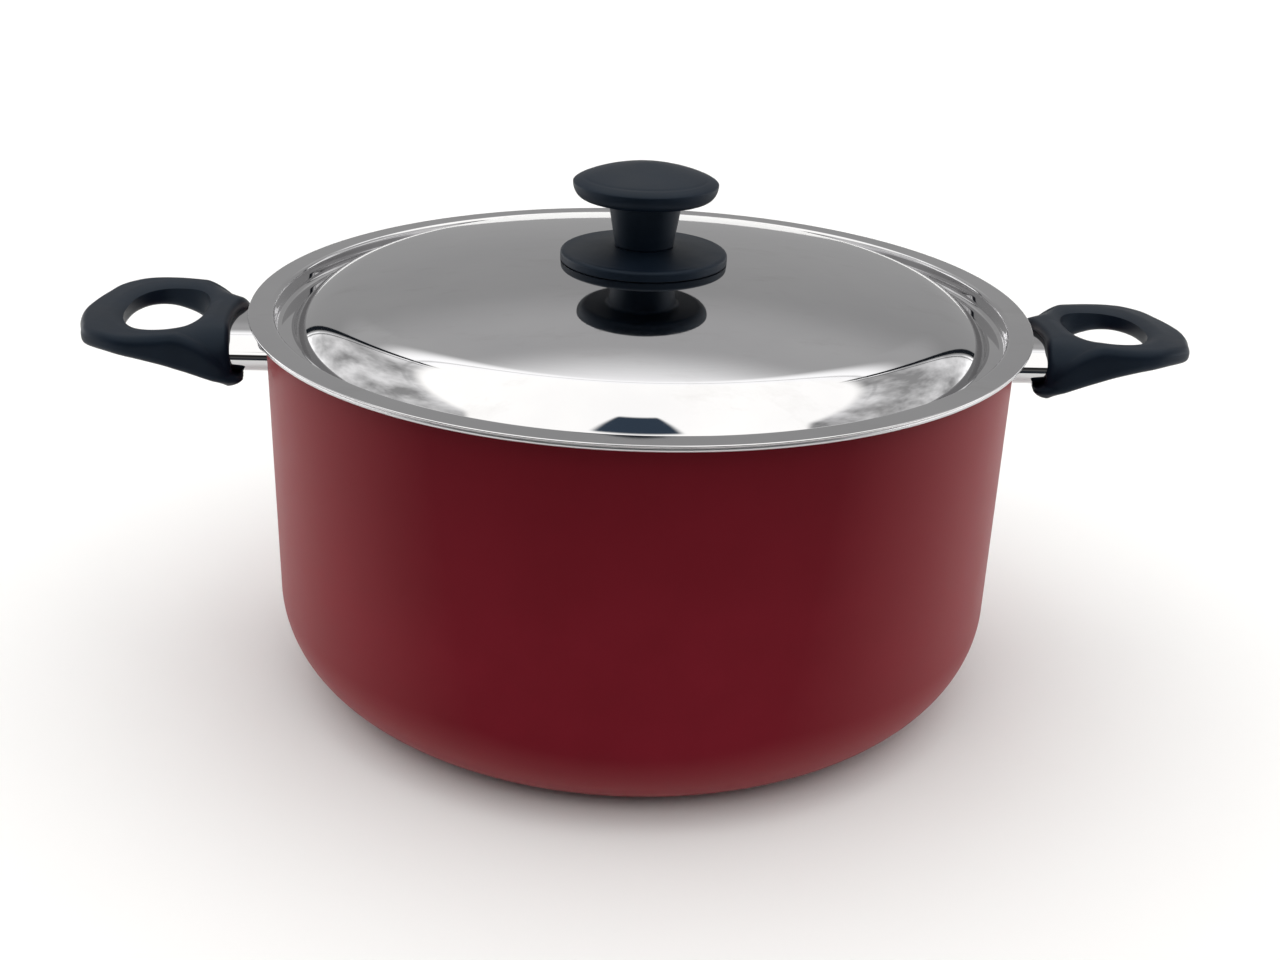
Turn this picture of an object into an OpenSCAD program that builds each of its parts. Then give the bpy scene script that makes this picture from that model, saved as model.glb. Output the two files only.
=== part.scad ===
// Two-handled stock pot with a domed steel lid.
// Millimetres. The origin is the centre of the base, +Z is up, the handles lie along X.

/* [Pot] */
// Outer diameter of the straight wall
pot_diameter = 284.4; // [270:0.1:300]
// Height of the rim above the base
pot_height = 146.3; // [130:0.1:170]
// Thickness of the drawn wall
wall_thickness = 2.3; // [1.8:0.1:2.8]
// Thickness of the base
base_thickness = 4; // [3:0.5:6]
// Outside radius of the corner between wall and base
corner_radius = 36; // [28:1:45]
// How far the flared lip stands out from the wall
lip_reach = 5.1; // [4.5:0.1:6]
// Thickness of the flared lip
lip_thickness = 1.9; // [1.6:0.1:2.2]

/* [Lid] */
// Thickness of the lid's sheet
lid_gauge = 0.8; // [0.6:0.1:1]
// How far the lid's flange stands out past the lip
lid_overhang = 0.7; // [0.3:0.1:1.5]
// Gap between the lid's step and the pot's wall
lid_clearance = 0.5; // [0.3:0.1:0.8]
// Depth of the channel inside the flange
channel_depth = 7.4; // [6:0.1:9]
// Height of the dome above the flange
dome_rise = 17; // [14:0.5:22]
// Radius of the dome's crown
crown_radius = 620; // [520:10:800]
// Radius of the dome's shoulder
shoulder_radius = 31.7; // [28:0.1:36]
// Distance from the lid's step to the start of the shoulder
shoulder_width = 27.8; // [24:0.1:30]

/* [Knob] */
// Diameter of the disc under the knob
flange_diameter = 63.6; // [56:0.1:70]
// Diameter of the mushroom cap
cap_diameter = 54.8; // [48:0.1:60]
// Diameter of the stem where it stands on the disc
stem_foot_diameter = 22.4; // [20:0.1:26]
// Diameter of the stem just under the cap
stem_head_diameter = 27.8; // [24:0.1:32]
// Height of the knob above the dome's crown
knob_height = 36.4; // [34:0.1:40]

/* [Handles] */
// Distance from the pot's axis to the tip of a handle
handle_reach = 213.4; // [208:0.1:214]
// Half width of a handle at its widest
handle_half_width = 35.8; // [32:0.1:38]
// Distance from the pot's axis to the handle's inner end
handle_start = 156.8; // [156:0.1:158]
// Half width of the handle's inner end, beside the flame guard
end_half_width = 26.9; // [26.8:0.1:28.5]
// Distance from the pot's axis to the inner end beside the flame guard
end_start = 154; // [153:0.1:155]
// Height of the handle's top face above the base
handle_top = 142; // [140.5:0.1:143]
// Thickness of the handle at its tip
tip_thickness = 7.5; // [7:0.1:10]
// Thickness of the handle at its inner end
root_thickness = 25.4; // [22:0.1:27]
// How far the top of the tip droops
tip_droop = 2.7; // [0:0.1:4]
// Distance from the pot's axis to the near end of the finger hole
hole_start = 166.6; // [165:0.1:167]
// Distance from the pot's axis to the far end of the finger hole
hole_end = 196.6; // [194:0.1:198]
// Half width of the finger hole
hole_half_width = 23.5; // [22:0.1:26]
// Turn of each handle about its screw, as left by tightening
handle_twist = 2.3; // [0:0.1:3]

/* [Handle fixing] */
// Height of the screw and the flame guard above the base
fixing_height = 128.3; // [127.5:0.1:129.5]
// Width of the flat-oval flame guard
guard_width = 49; // [44:0.1:49.5]
// Height of the flat-oval flame guard
guard_height = 16.2; // [14:0.1:16.5]
// Thickness of the flame guard's sheet
guard_gauge = 0.8; // [0.6:0.1:1]

/* [Hidden] */
$fn = 96;

// Pot
pot_r = pot_diameter / 2;
inner_r = pot_r - wall_thickness;
base_r = pot_r - corner_radius;
lip_r = pot_r + lip_reach;
lip_edge = lip_thickness / 2;
lip_underside = pot_height - lip_thickness;
lip_fillet = 1.5;
mouth_fillet = 1.6;

// Lid
lid_r = lip_r + lid_overhang;
lid_top = pot_height + lid_gauge;
step_r = inner_r - lid_clearance - lid_gauge;
bend_r = 1.6;
channel_fillet = 2.2;
shoulder_start = step_r - shoulder_width;
crown_z = lid_top + dome_rise;
crown_tilt = asin(shoulder_start / crown_radius);
crown_centre = [0, crown_z - crown_radius];
shoulder_centre = crown_centre + (crown_radius - shoulder_radius) * [sin(crown_tilt), cos(crown_tilt)];
channel_z = lid_top - channel_depth + channel_fillet;
blend_r = shoulder_radius + channel_fillet;
channel_tilt = acos((channel_z - shoulder_centre[1]) / blend_r);
inner_channel = shoulder_centre + blend_r * [sin(channel_tilt), cos(channel_tilt)];
outer_channel = [step_r - channel_fillet, channel_z];
bend_centre = [step_r + bend_r, lid_top - bend_r];
lid_hole_r = 3;

// Knob
flange_r = flange_diameter / 2;
flange_base = dome_z(flange_r - 3) + 0.03;
flange_seat = crown_z + 4.9;
spigot_r = 7.6;
cap_r = cap_diameter / 2;
cap_rise = 7.4;
cap_power = [1.4, 1.43];
cap_lower = [4.2, 5.7];
cap_z = crown_z + knob_height - cap_rise;
cap_underside = cap_z - cap_lower[1];
insert_r = 4;
insert_z = [crown_z + 1.1, crown_z + 14.1];

// Fasteners
thread_r = 2.45;
tapped_r = 2.5;
screw_head_r = 4.4;
screw_head_height = 2.4;
washer_hole_r = 2.7;
flat_washer_thickness = 0.8;
spring_washer_thickness = 1.1;
under_lid = crown_z - lid_gauge - 0.15;
knob_screw_seat = under_lid - flat_washer_thickness - spring_washer_thickness;
knob_screw_length = 15;
handle_screw_length = 16;

// Handles
hole_centre = (hole_start + hole_end) / 2;
hole_half_length = (hole_end - hole_start) / 2;
hole_power = 2.4;
widest = 183.8;
top_crown = 1.3;
root_power = 2.5;
slope_start = 173.5;
slope_length = 19;
slope_power = 1.6;
tip_underside_droop = 1.4;
tip_power = 1.5;
end_droop = [2.7, 11.6];
droop_start = 12;
droop_width = 14.1;
end_rise = 2.8;
chin_reach = 4.4;
chin_depth = [0.6, 0.8];
chin_power = [4, 1.5];
chin_walls = [0.24, 0.12, 0.07];
outer_edge_r = 3.6;
socket_edge_r = 2;
bevel_width = 6;
bevel_depth = 1.9;
bevel_power = 1.8;
lower_edge_r = 3.6;
oval_power = 2.4;
oval_steps = 64;
edge_steps = 4;
outline_steps = 3;
socket_end = handle_start + 1.3;
bore_floor = socket_end + 2;
bore_r = 5.2;
stud_end = socket_end - 1.4;
handle_screw_seat = bore_floor + flat_washer_thickness + spring_washer_thickness;

function arc(centre, radius, from, to, steps) = [
    for (i = [0 : steps])
        let (a = from + (to - from) * i / steps) centre + radius * [cos(a), sin(a)]
];

function bow(centre, radii, from, to, steps) = [
    for (i = [0 : steps])
        let (a = from + (to - from) * i / steps) centre + [radii[0] * cos(a), radii[1] * sin(a)]
];

// Height of the dome's outer surface at a distance r from the axis
function dome_z(r) = crown_centre[1] + sqrt(crown_radius * crown_radius - r * r);

// Lid section from the screw hole to the flange, at a depth below the outer surface
function lid_line(depth) = concat(
    arc(crown_centre, crown_radius - depth, 90 - asin(lid_hole_r / crown_radius), 90 - crown_tilt, 16),
    arc(shoulder_centre, shoulder_radius - depth, 90 - crown_tilt, 90 - channel_tilt, 12),
    arc(inner_channel, channel_fillet + depth, 270 - channel_tilt, 270, 6),
    arc(outer_channel, channel_fillet + depth, 270, 360, 8),
    arc(bend_centre, bend_r - depth, 180, 90, 6)
);

module pot_shell() {
    corner = [base_r, corner_radius];
    inner_corner = inner_r - base_r;
    color("firebrick")
    rotate_extrude($fn = 180)
    polygon(concat(
        [[0, base_thickness], [0, 0]],
        arc(corner, corner_radius, -90, 0, 14),
        arc([pot_r + lip_fillet, lip_underside - lip_fillet], lip_fillet, 180, 90, 4),
        arc([lip_r - lip_edge, pot_height - lip_edge], lip_edge, -90, 90, 8),
        arc([inner_r + mouth_fillet, pot_height - mouth_fillet], mouth_fillet, 90, 180, 5),
        arc([base_r, base_thickness + inner_corner], inner_corner, 0, -90, 14)
    ));
}

module lid_shell() {
    lower = lid_line(lid_gauge);
    color("silver")
    rotate_extrude($fn = 180)
    polygon(concat(
        lid_line(0),
        [[lid_r - 0.2, lid_top], [lid_r, lid_top - 0.2], [lid_r, pot_height + 0.2], [lid_r - 0.2, pot_height]],
        [for (i = [len(lower) - 1 : -1 : 0]) lower[i]]
    ));
}

module knob_flange() {
    color("dimgray")
    rotate_extrude()
    polygon([
        [spigot_r + 0.1, crown_z + 0.9],
        [flange_r - 3.5, crown_z + 0.9],
        [flange_r - 3, flange_base],
        [flange_r - 0.2, flange_base],
        [flange_r, flange_base + 0.2],
        [flange_r, flange_base + 2.5],
        [flange_r - 0.4, flange_base + 3.2],
        [flange_r - 1.4, flange_base + 3.7],
        [flange_r - 3, flange_base + 3.9],
        [stem_foot_diameter / 2 + 1.5, flange_seat - 0.3],
        [stem_foot_diameter / 2 + 0.4, flange_seat],
        [spigot_r + 0.1, flange_seat]
    ]);
}

module knob_grip() {
    foot_r = stem_foot_diameter / 2;
    head_r = stem_head_diameter / 2;
    color("dimgray")
    difference() {
        rotate_extrude()
        polygon(concat(
            [[0, insert_z[0] - 0.4], [spigot_r, insert_z[0] - 0.4], [spigot_r, flange_seat]],
            [[foot_r, flange_seat], [foot_r, flange_seat + 0.6]],
            arc([head_r + 2, cap_underside - 2], 2, 175, 90, 5),
            bow([cap_r - cap_lower[0], cap_z], cap_lower, -90, 0, 8),
            [for (a = [8 : 8 : 80])
                [cap_r * pow(cos(a), cap_power[0]), cap_z + cap_rise * pow(sin(a), cap_power[1])]],
            [[0, cap_z + cap_rise]]
        ));
        translate([0, 0, insert_z[0] - 1])
        cylinder(h = insert_z[1] - insert_z[0] + 1, r = insert_r + 0.02);
    }
}

module knob_insert() {
    height = insert_z[1] - insert_z[0];
    groove = 0.5;
    color("goldenrod")
    translate([0, 0, insert_z[0]])
    difference() {
        cylinder(h = height, r = insert_r);
        translate([0, 0, -1])
        cylinder(h = height - 0.5, r = tapped_r);
        for (z = [height * 0.35, height * 0.7])
            translate([0, 0, z])
            difference() {
                cylinder(h = 1.2, r = insert_r + 1);
                translate([0, 0, -1])
                cylinder(h = 4, r = insert_r - groove);
            }
    }
}

// Pan-head screw with a cross recess. Its seat is at the origin and its shank runs along +Z.
module pan_screw(shank_length) {
    recess = [5, 1, 1.4];
    difference() {
        rotate_extrude($fn = 48)
        polygon(concat(
            [[0, -screw_head_height]],
            bow([screw_head_r - 2.6, 0], [2.6, screw_head_height], -90, 0, 6),
            [[thread_r, 0], [thread_r, shank_length - 0.8], [thread_r - 0.8, shank_length], [0, shank_length]]
        ));
        for (turn = [0, 90])
            rotate([0, 0, turn])
            translate([-recess[0] / 2, -recess[1] / 2, -screw_head_height - 1])
            cube([recess[0], recess[1], recess[2] + 1]);
    }
}

module washer(outer_r, thickness) {
    difference() {
        cylinder(h = thickness, r = outer_r, $fn = 48);
        translate([0, 0, -1])
        cylinder(h = thickness + 2, r = washer_hole_r, $fn = 48);
    }
}

// Spring washer: a ring with one slanted cut
module split_washer(outer_r) {
    difference() {
        washer(outer_r, spring_washer_thickness);
        translate([0, outer_r / 2, spring_washer_thickness / 2])
        rotate([0, 30, 0])
        cube([0.6, outer_r + 1, spring_washer_thickness * 3], center = true);
    }
}

module knob_washer() {
    color("lightgray")
    translate([0, 0, under_lid - flat_washer_thickness])
    washer(8, flat_washer_thickness);
}

module knob_spring_washer() {
    color("lightgray")
    translate([0, 0, knob_screw_seat])
    split_washer(4.3);
}

module knob_screw() {
    color("lightgray")
    translate([0, 0, knob_screw_seat])
    pan_screw(knob_screw_length);
}

// Half outline of the handle in plan, from the tip round to the middle of the inner end
function handle_side() = [
    [handle_reach, 0],
    [handle_reach - 1.3, 9.6],
    [handle_reach - 3.8, 18],
    [handle_reach - 7.5, 27.3],
    [(handle_reach + widest) / 2 - 3.8, handle_half_width - 1.3],
    [widest, handle_half_width],
    [(widest + end_start) / 2, handle_half_width - 3.3],
    [end_start + 6, end_half_width + 3.5],
    [end_start, end_half_width],
    [end_start + 0.7, 20],
    [handle_start - 0.4, 9],
    [handle_start, 0]
];

function handle_knots() = let (side = handle_side(), last = len(side) - 1) concat(
    side,
    [for (i = [last - 1 : -1 : 1]) [side[i][0], -side[i][1]]]
);

// Point on a smooth closed curve through the knots
function curve_point(knots, i, t) = let (
    n = len(knots),
    a = knots[(i + n - 1) % n],
    b = knots[i],
    c = knots[(i + 1) % n],
    d = knots[(i + 2) % n]
) 0.5 * (2 * b + (c - a) * t + (2 * a - 5 * b + 4 * c - d) * t * t + (3 * b - a - 3 * c + d) * t * t * t);

function handle_outline() = let (knots = handle_knots()) [
    for (i = [0 : len(knots) - 1], k = [0 : outline_steps - 1]) curve_point(knots, i, k / outline_steps)
];

// Point on the rim of the finger hole that faces an outline point
function hole_point(p) = let (
    a = atan2(p[1], p[0] - hole_centre),
    x = abs(cos(a)) / hole_half_length,
    y = abs(sin(a)) / hole_half_width,
    r = pow(pow(x, hole_power) + pow(y, hole_power), -1 / hole_power)
) [hole_centre + r * cos(a), r * sin(a)];

// How far along the slope towards the pot a point is, and how near it is to a side of the handle
function end_slope(p) = pow(max(0, (slope_start - p[0]) / slope_length), slope_power);
function side_share(p) = pow(min(1.1, max(0, (abs(p[1]) - droop_start) / droop_width)), 2.4);

// How far along the tip, beyond the finger hole, a point is
function tip_share(p) = pow(min(1, max(0, (p[0] - hole_end) / (handle_reach - hole_end))), tip_power);

function top_z(p) = handle_top - top_crown * pow(p[1] / 38, 2) - tip_droop * tip_share(p)
    - (end_droop[0] + (end_droop[1] - end_droop[0]) * side_share(p)) * end_slope(p);

function bottom_z(p) = let (
    u = (handle_reach - 2 - p[0]) / (handle_reach - 2 - handle_start),
    depth = tip_thickness + (root_thickness - tip_thickness) * pow(min(1, max(0, u)), root_power)
) handle_top - depth - tip_underside_droop * tip_share(p) + end_rise * side_share(p) * end_slope(p);

// Section point of the grip, with the part below the flame guard drawn out towards the pot as a chin
function drawn_out(x, y, z) = let (
    depth = (handle_top - z) / root_thickness,
    below = min(1, max(0, (depth - chin_depth[0]) / (chin_depth[1] - chin_depth[0]))),
    back = min(1, max(0, (depth - chin_depth[1]) / (1 - chin_depth[1]))),
    near = min(1, max(0, (160 - x) / 5))
) [x - chin_reach * pow(below, chin_power[0]) * (1 - pow(back, chin_power[1])) * near, y, z];

// Section of the grip between its hole point a and its outline point b
function grip_section(a, b) = let (
    width = norm(b - a),
    along = (b - a) / width,
    thickness = top_z(b) - bottom_z(b),
    low = min(lower_edge_r, width * 0.45, thickness * 0.42),
    bevel = min(bevel_width, width * 0.5),
    socket_side = min(1, max(0, (hole_start - b[0]) / 6)) * max(0, 1 - pow(b[1] / end_half_width, 2)),
    rounding = outer_edge_r + (socket_edge_r - outer_edge_r) * socket_side,
    outer = min(rounding, width * 0.45, thickness * 0.42),
    wall = [bottom_z(b) + low, top_z(b) - outer]
) concat(
    [for (i = [0 : edge_steps]) let (q = 90 * (1 - i / edge_steps), p = a + along * low * (1 - cos(q)))
        drawn_out(p[0], p[1], bottom_z(p) + low * (1 - sin(q)))],
    [for (i = [0 : edge_steps]) let (t = i / edge_steps, p = a + along * bevel * t)
        drawn_out(p[0], p[1], top_z(p) - bevel_depth * pow(1 - t, bevel_power))],
    [for (i = [0 : edge_steps]) let (q = 90 * (1 - i / edge_steps), p = b - along * outer * (1 - cos(q)))
        drawn_out(p[0], p[1], top_z(p) - outer * (1 - sin(q)))],
    [for (share = chin_walls) drawn_out(b[0], b[1], wall[0] + (wall[1] - wall[0]) * share)],
    [for (i = [0 : edge_steps]) let (q = 90 * i / edge_steps, p = b - along * low * (1 - cos(q)))
        drawn_out(p[0], p[1], bottom_z(p) + low * (1 - sin(q)))]
);

module grip_body() {
    outline = handle_outline();
    sections = [for (p = outline) grip_section(hole_point(p), p)];
    count = len(sections);
    ring = len(sections[0]);
    polyhedron(
        points = [for (section = sections, p = section) p],
        faces = [
            for (i = [0 : count - 1], k = [0 : ring - 1], half = [0, 1])
                let (
                    a = i * ring + k,
                    b = ((i + 1) % count) * ring + k,
                    c = ((i + 1) % count) * ring + (k + 1) % ring,
                    d = i * ring + (k + 1) % ring
                ) half == 0 ? [a, b, c] : [a, c, d]
        ],
        convexity = 4
    );
}

// Oval with a slightly crowned top and bottom and round ends
module oval(width, height) {
    polygon([
        for (i = [0 : oval_steps - 1])
            let (
                a = 360 * i / oval_steps,
                across = sign(cos(a)) * pow(abs(cos(a)), 2 / oval_power),
                upright = sign(sin(a)) * pow(abs(sin(a)), 2 / oval_power)
            ) [width / 2 * across, height / 2 * upright]
    ]);
}

// Extrusion along X from one distance to another, centred on the handle's screw
module along_x(from, to) {
    translate([from, 0, fixing_height])
    rotate([90, 0, 90])
    linear_extrude(to - from)
    children();
}

// Turns a right-hand piece about its screw
module turned() {
    translate([0, 0, fixing_height])
    rotate([-handle_twist, 0, 0])
    translate([0, 0, -fixing_height])
    children();
}

// The left handle is the right one turned half round the pot
module left_side() {
    rotate([0, 0, 180])
    children();
}

module handle_grip() {
    color("dimgray")
    turned()
    difference() {
        grip_body();
        along_x(end_start - 10, socket_end) oval(guard_width + 0.2, guard_height + 0.2);
        along_x(bore_floor, hole_centre) circle(r = bore_r);
        along_x(end_start - 10, hole_centre) circle(r = washer_hole_r);
    }
}

module flame_guard() {
    color("gainsboro")
    difference() {
        turned()
        difference() {
            along_x(inner_r, socket_end - 0.2) oval(guard_width, guard_height);
            along_x(inner_r - 1, socket_end + 1)
            oval(guard_width - 2 * guard_gauge, guard_height - 2 * guard_gauge);
        }
        cylinder(h = pot_height, r = pot_r, $fn = 180);
    }
}

module weld_stud() {
    color("lightgray")
    difference() {
        union() {
            along_x(inner_r, stud_end) circle(r = 4.6);
            along_x(inner_r, pot_r + 1.6) circle(r = 5.7);
        }
        cylinder(h = pot_height, r = pot_r, $fn = 180);
        along_x(pot_r + 2.5, stud_end + 1) circle(r = tapped_r);
    }
}

module handle_flat_washer() {
    color("lightgray")
    translate([bore_floor, 0, fixing_height])
    rotate([0, 90, 0])
    washer(5, flat_washer_thickness);
}

module handle_spring_washer() {
    color("lightgray")
    translate([bore_floor + flat_washer_thickness, 0, fixing_height])
    rotate([0, 90, 0])
    split_washer(4.3);
}

module handle_screw() {
    color("lightgray")
    translate([handle_screw_seat, 0, fixing_height])
    rotate([0, -90, 0])
    pan_screw(handle_screw_length);
}

pot_shell();
handle_grip();  // right_handle_grip
flame_guard();  // right_flame_guard
weld_stud();  // right_weld_stud
handle_flat_washer();  // right_flat_washer
handle_spring_washer();  // right_spring_washer
handle_screw();  // right_handle_screw
left_side() handle_grip();  // left_handle_grip
left_side() flame_guard();  // left_flame_guard
left_side() weld_stud();  // left_weld_stud
left_side() handle_flat_washer();  // left_flat_washer
left_side() handle_spring_washer();  // left_spring_washer
left_side() handle_screw();  // left_handle_screw
lid_shell();
knob_flange();
knob_grip();
knob_insert();
knob_washer();
knob_spring_washer();
knob_screw();
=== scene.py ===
"""Looks of the two-handled stock pot with its domed lid. Metres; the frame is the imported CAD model's."""
import math

import bmesh
import bpy
from mathutils import Matrix, Vector


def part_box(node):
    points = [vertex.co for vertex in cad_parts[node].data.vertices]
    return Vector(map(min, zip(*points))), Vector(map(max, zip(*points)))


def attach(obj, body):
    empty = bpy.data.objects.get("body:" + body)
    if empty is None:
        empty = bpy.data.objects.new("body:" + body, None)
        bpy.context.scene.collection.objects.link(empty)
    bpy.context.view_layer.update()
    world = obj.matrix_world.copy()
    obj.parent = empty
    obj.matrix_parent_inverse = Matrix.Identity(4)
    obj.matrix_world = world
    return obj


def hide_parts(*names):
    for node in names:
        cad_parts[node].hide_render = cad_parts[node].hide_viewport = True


MM = 0.001
TAU = 2 * math.pi

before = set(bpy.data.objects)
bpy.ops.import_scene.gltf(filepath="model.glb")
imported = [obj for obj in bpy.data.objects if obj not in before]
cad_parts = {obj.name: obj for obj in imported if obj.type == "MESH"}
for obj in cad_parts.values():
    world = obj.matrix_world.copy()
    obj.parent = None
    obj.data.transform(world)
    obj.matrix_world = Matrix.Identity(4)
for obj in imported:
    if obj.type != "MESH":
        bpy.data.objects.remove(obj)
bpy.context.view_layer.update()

# ---------------------------------------------------------------- sizes
pot_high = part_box("pot_shell")[1]
lid_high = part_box("lid_shell")[1]
knob_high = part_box("knob_grip")[1]
flange_low, flange_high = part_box("knob_flange")
grip_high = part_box("right_handle_grip")[1]

SEGMENTS = 256
KNOB_SEGMENTS = 192
SAME_POINT = 0.005 * MM
ON_AXIS = 0.001 * MM

# Pot
LIP_R = min(pot_high.x, pot_high.y)
POT_HEIGHT = pot_high.z
LIP_WIDTH = 5.1 * MM
WALL_THICKNESS = 2.3 * MM
POT_R = LIP_R - LIP_WIDTH
INNER_R = POT_R - WALL_THICKNESS
CORNER_R = 36 * MM
BASE_R = POT_R - CORNER_R
BASE_THICKNESS = 4 * MM
LIP_THICKNESS = 1.9 * MM
LIP_FILLET = 1.5 * MM
MOUTH_FILLET = 1.6 * MM
BARE_BASE_R = BASE_R + 2 * MM
BASE_HOLLOW_R = 20.4 * MM
BASE_HOLLOW = 0.35 * MM

# Lid
LID_R = min(lid_high.x, lid_high.y)
GAUGE = 0.8 * MM
LID_TOP = POT_HEIGHT + GAUGE
CROWN_Z = LID_TOP + 17 * MM
CROWN_RADIUS = 620 * MM
SHOULDER_RADIUS = 31.7 * MM
RIM_CLEARANCE = 0.5 * MM
STEP_R = INNER_R - RIM_CLEARANCE - GAUGE
SHOULDER_START = STEP_R - 27.8 * MM
CHANNEL_DEPTH = 7.4 * MM
CHANNEL_FILLET = 2.2 * MM
BEND_R = 1.6 * MM
SCREW_HOLE_R = 3 * MM

# Knob
KNOB_TOP = knob_high.z
CAP_R = knob_high.x
CAP_RISE = 7.4 * MM
CAP_LOWER = (4.2 * MM, 5.7 * MM)
CAP_SIDE_POWER = 1.4
CAP_TOP_POWER = 1.43
GROOVE_R = 23.8 * MM
GROOVE_DEPTH = 0.12 * MM
GROOVE_WIDTH = 0.45 * MM
CAP_Z = KNOB_TOP - CAP_RISE
CAP_UNDERSIDE = CAP_Z - CAP_LOWER[1]
STEM_FOOT_R = 11.2 * MM
STEM_HEAD_R = 13.9 * MM
SPIGOT_R = 7.6 * MM
INSERT_R = 4.02 * MM
INSERT_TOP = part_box("knob_insert")[1].z
INSERT_LENGTH = 13.4 * MM
KNOB_EDGE = 0.3 * MM
FLANGE_R = flange_high.x
FLANGE_BASE = flange_low.z
FLANGE_SEAT = CROWN_Z + 4.9 * MM
FLANGE_HOLLOW = CROWN_Z + 0.9 * MM

# Handles, in the frame of the right-hand one before its turn about the screw
REACH = grip_high.x
HALF_WIDTH = 35.8 * MM
HANDLE_START = 156.8 * MM
END_HALF_WIDTH = 26.9 * MM
END_START = 154 * MM
WIDEST = 183.8 * MM
HANDLE_TOP = 142 * MM
TIP_THICKNESS = 7.5 * MM
ROOT_THICKNESS = 25.4 * MM
HOLE_START = 166.6 * MM
HOLE_END = 196.6 * MM
HOLE_HALF_WIDTH = 23.5 * MM
TWIST = math.radians(2.3)
FIXING_Z = 128.3 * MM
GUARD_WIDTH = 49 * MM
GUARD_HEIGHT = 16.2 * MM
GUARD_GAUGE = 0.8 * MM
SOCKET_END = HANDLE_START + 1.3 * MM
BORE_FLOOR = SOCKET_END + 2 * MM
BORE_R = 5.2 * MM
SCREW_CLEARANCE_R = 2.7 * MM
HOLE_CENTRE = (HOLE_START + HOLE_END) / 2
HOLE_POWER = 2.4
GUARD_POWER = 2.4
SOCKET_FIT = 0.2 * MM

# Edges of the handle, which get smaller where the handle is thin
EDGE_R = 3.6 * MM
SOCKET_EDGE_R = 2 * MM
SOCKET_RUN = 6 * MM
EDGE_SHARE = 0.42
BEVEL_WIDTH = 6 * MM
BEVEL_DEPTH = 1.9 * MM
BEVEL_POWER = 1.8

# Top and underside of the handle: a slight crown, a slope towards the pot that falls more at the sides, a
# droop of the tip, and a chin below the flame guard, with its depths as shares of the root's thickness
TOP_CROWN = 1.3 * MM
CROWN_HALF_WIDTH = 38 * MM
SLOPE_START = 173.5 * MM
SLOPE_LENGTH = 19 * MM
SLOPE_POWER = 1.6
MIDDLE_DROOP = 2.7 * MM
SIDE_DROOP = 11.6 * MM
SIDE_START = 12 * MM
SIDE_WIDTH = 14.1 * MM
SIDE_POWER = 2.4
SIDE_LIMIT = 1.1
END_RISE = 2.8 * MM
TIP_DROOP = 2.7 * MM
TIP_UNDERSIDE_DROOP = 1.4 * MM
TIP_POWER = 1.5
TIP_FLAT = 2 * MM
ROOT_POWER = 2.5
CHIN_REACH = 4.4 * MM
CHIN_START = 160 * MM
CHIN_RUN = 5 * MM
CHIN_DEPTHS = (0.6, 0.8)
CHIN_STEP = 0.2
CHIN_POWERS = (4, 1.5)

# Camera and studio
CAMERA_DISTANCE = 579.03 * MM
CAMERA_HEIGHT = 323.74 * MM
CAMERA_AZIMUTH = math.radians(2.37)
CAMERA_YAW = math.radians(0.17)
CAMERA_PITCH = math.radians(-23.55)
CAMERA_ROLL = math.radians(2.06)
FOCAL_LENGTH = 43.79
HEADING = CAMERA_AZIMUTH + CAMERA_YAW


# ---------------------------------------------------------------- mesh helpers
def arc(centre, radius, start, end, steps):
    """Points of an arc in the (radius, height) plane; the angles are in degrees."""
    return bow(centre, (radius, radius), start, end, steps)


def bow(centre, radii, start, end, steps):
    """Like arc, on an ellipse."""
    points = []
    for i in range(steps + 1):
        a = math.radians(start + (end - start) * i / steps)
        points.append((centre[0] + radii[0] * math.cos(a), centre[1] + radii[1] * math.sin(a)))
    return points


def clamped(value, high=1.0):
    """The value, kept between nought and high."""
    return min(high, max(0.0, value))


def held(start, end, edge=0.3 * MM):
    """A straight line with two more points near its ends, which keep its shading flat."""
    a, b = Vector(start), Vector(end)
    step = (b - a).normalized() * min(edge, (b - a).length / 3)
    return [tuple(a), tuple(a + step), tuple(b - step), tuple(b)]


def outline(*parts):
    """Joins point lists and drops points that repeat the one before them."""
    points = []
    for part in parts:
        for p in part:
            if not points or (Vector(p) - Vector(points[-1])).length > SAME_POINT:
                points.append(tuple(p))
    return points


def add_to_scene(name, data):
    """A new object in the scene that shows a mesh or is a camera."""
    obj = bpy.data.objects.new(name, data)
    bpy.context.scene.collection.objects.link(obj)
    return obj


def join_loops(bm, loops):
    """Faces between neighbouring loops of vertices, the last loop joined to the first."""
    for i, a in enumerate(loops):
        b = loops[(i + 1) % len(loops)]
        for k in range(len(a)):
            n = (k + 1) % len(a)
            bm.faces.new((a[k], b[k], b[n], a[n]))


def make_object(name, bm, materials, body, replaced):
    """Turns a bmesh into a smooth-shaded piece that rides on a body."""
    bmesh.ops.recalc_face_normals(bm, faces=bm.faces)
    if bm.calc_volume(signed=True) < 0:
        bmesh.ops.reverse_faces(bm, faces=bm.faces)
    mesh = bpy.data.meshes.new(name)
    bm.to_mesh(mesh)
    bm.free()
    for polygon in mesh.polygons:
        polygon.use_smooth = True
    for material in materials:
        mesh.materials.append(material)
    obj = add_to_scene(name, mesh)
    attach(obj, body)
    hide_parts(*replaced)
    return obj


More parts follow.
